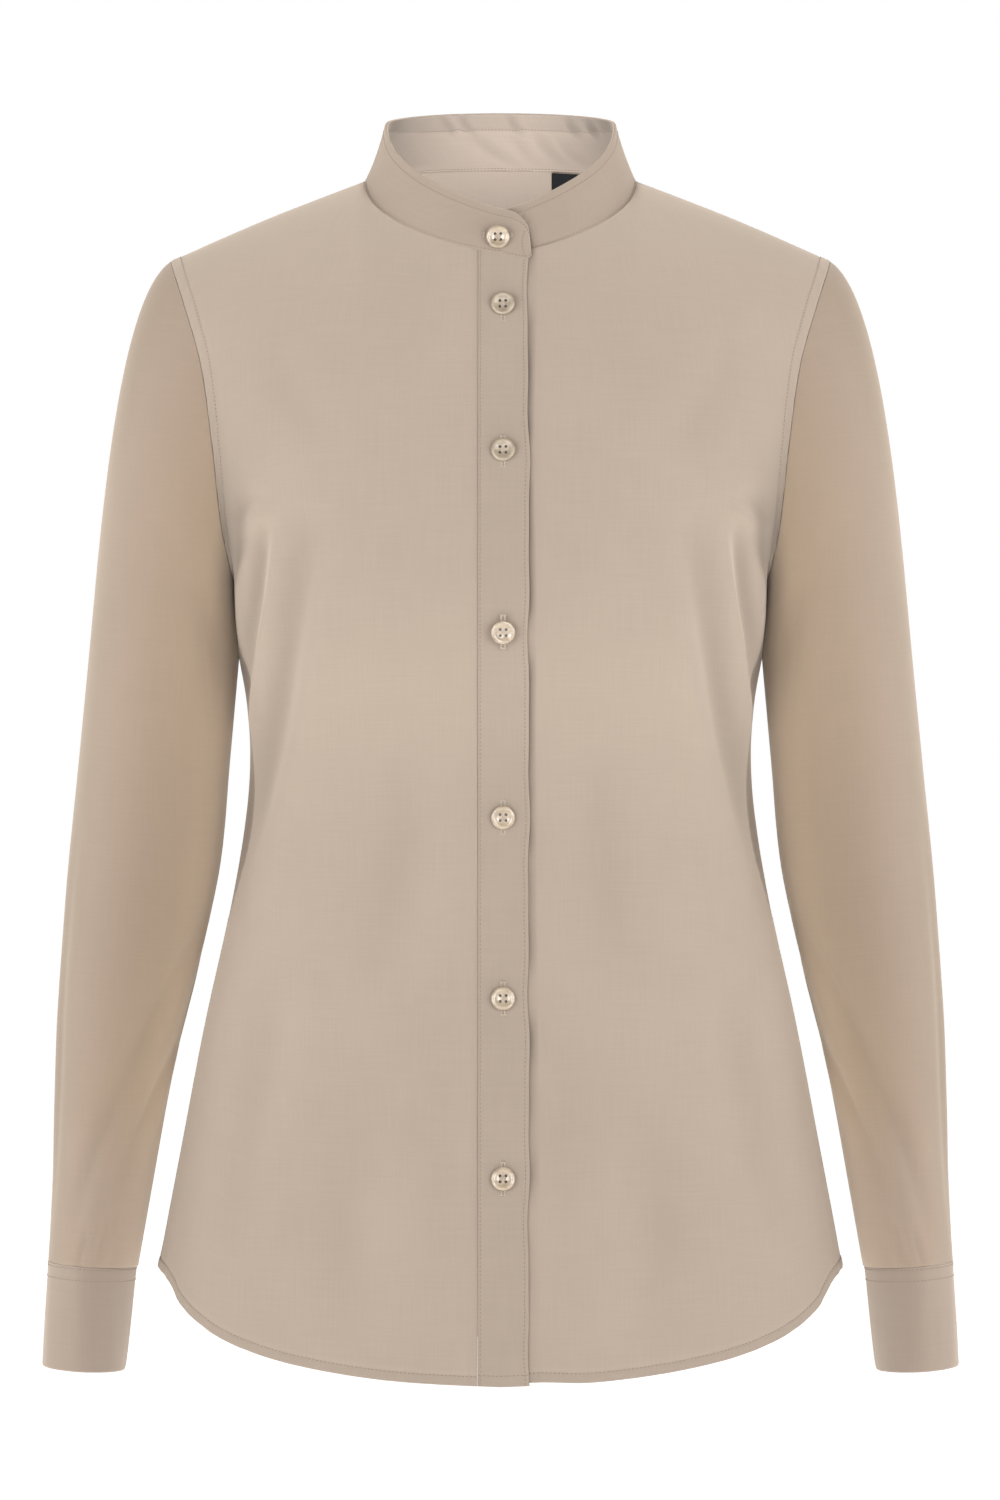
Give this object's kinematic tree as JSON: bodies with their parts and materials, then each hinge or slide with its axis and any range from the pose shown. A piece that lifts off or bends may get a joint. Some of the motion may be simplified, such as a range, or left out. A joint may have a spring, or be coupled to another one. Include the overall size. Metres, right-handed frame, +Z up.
{
  "type": "mandarin collar shirt",
  "caption": "Fitted long-sleeved shirt with a buttoned stand-up mandarin collar, placket, cuffs and curved hem, hollow and filled out as worn.",
  "frame": {"origin": "the middle of the neck, level with the points where the shoulder seams meet the collar, where the wearer's shoulders and neck hold the shirt", "axes": "+Z up along the body, -Y the way the wearer faces, +X to the wearer's left"},
  "size_m": [0.4998, 0.2592, 0.6934],
  "materials": {
    "cotton": "plain-woven cotton, matt, beige",
    "horn": "polished horn-coloured plastic",
    "label_tape": "black woven tape, bare"
  },
  "bodies": {
    "root": {"front_right": "cotton", "front_left": "cotton", "front_placket": "cotton", "back": "cotton", "sleeve_right": "cotton", "sleeve_left": "cotton", "cuff_right": "cotton", "cuff_left": "cotton", "collar_band": "cotton", "neck_label": "label_tape", "button_1": "horn", "button_2": "horn", "button_3": "horn", "button_4": "horn", "button_5": "horn", "button_6": "horn", "button_7": "horn", "cuff_button_right": "horn", "cuff_button_left": "horn"}
  },
  "joints": []
}
